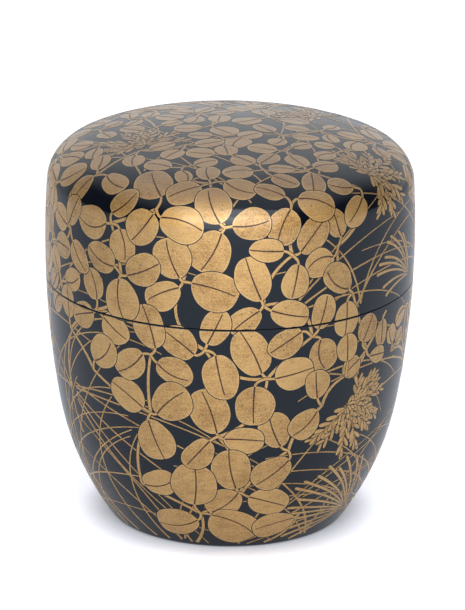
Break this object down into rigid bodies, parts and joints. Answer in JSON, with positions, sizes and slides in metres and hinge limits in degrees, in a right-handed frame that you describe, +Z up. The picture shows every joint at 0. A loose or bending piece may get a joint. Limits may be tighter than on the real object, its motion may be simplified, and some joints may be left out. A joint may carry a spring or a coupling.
{
  "type": "tea caddy",
  "caption": "Round lacquered wooden tea caddy with a domed lift-off lid that slides over an upright rim, decorated in gold with autumn grasses.",
  "frame": {"origin": "centre of the base, on the surface the caddy stands on", "axes": "+Z up along the axis of the turned body; the front of the decoration faces -Y"},
  "size_m": [0.068, 0.068, 0.074],
  "materials": {
    "wood": "matte",
    "ground": "matte",
    "black_lacquer": "polished",
    "inner_lacquer": "gloss",
    "gold_powder": "satin"
  },
  "bodies": {
    "caddy_body": {"body_wood_core": "wood", "body_ground_coat": "ground", "body_outer_lacquer": "black_lacquer", "base_lacquer": "black_lacquer", "rim_lacquer": "black_lacquer", "body_inner_lacquer": "inner_lacquer"},
    "caddy_lid": {"lid_wood_core": "wood", "lid_ground_coat": "ground", "lid_outer_lacquer": "black_lacquer", "lid_inner_lacquer": "inner_lacquer"}
  },
  "joints": [
    {"name": "lid_lift", "type": "slide", "parent": "caddy_body", "child": "caddy_lid", "axis": [0, 0, 1], "range_m": [0, 0.04]}
  ]
}
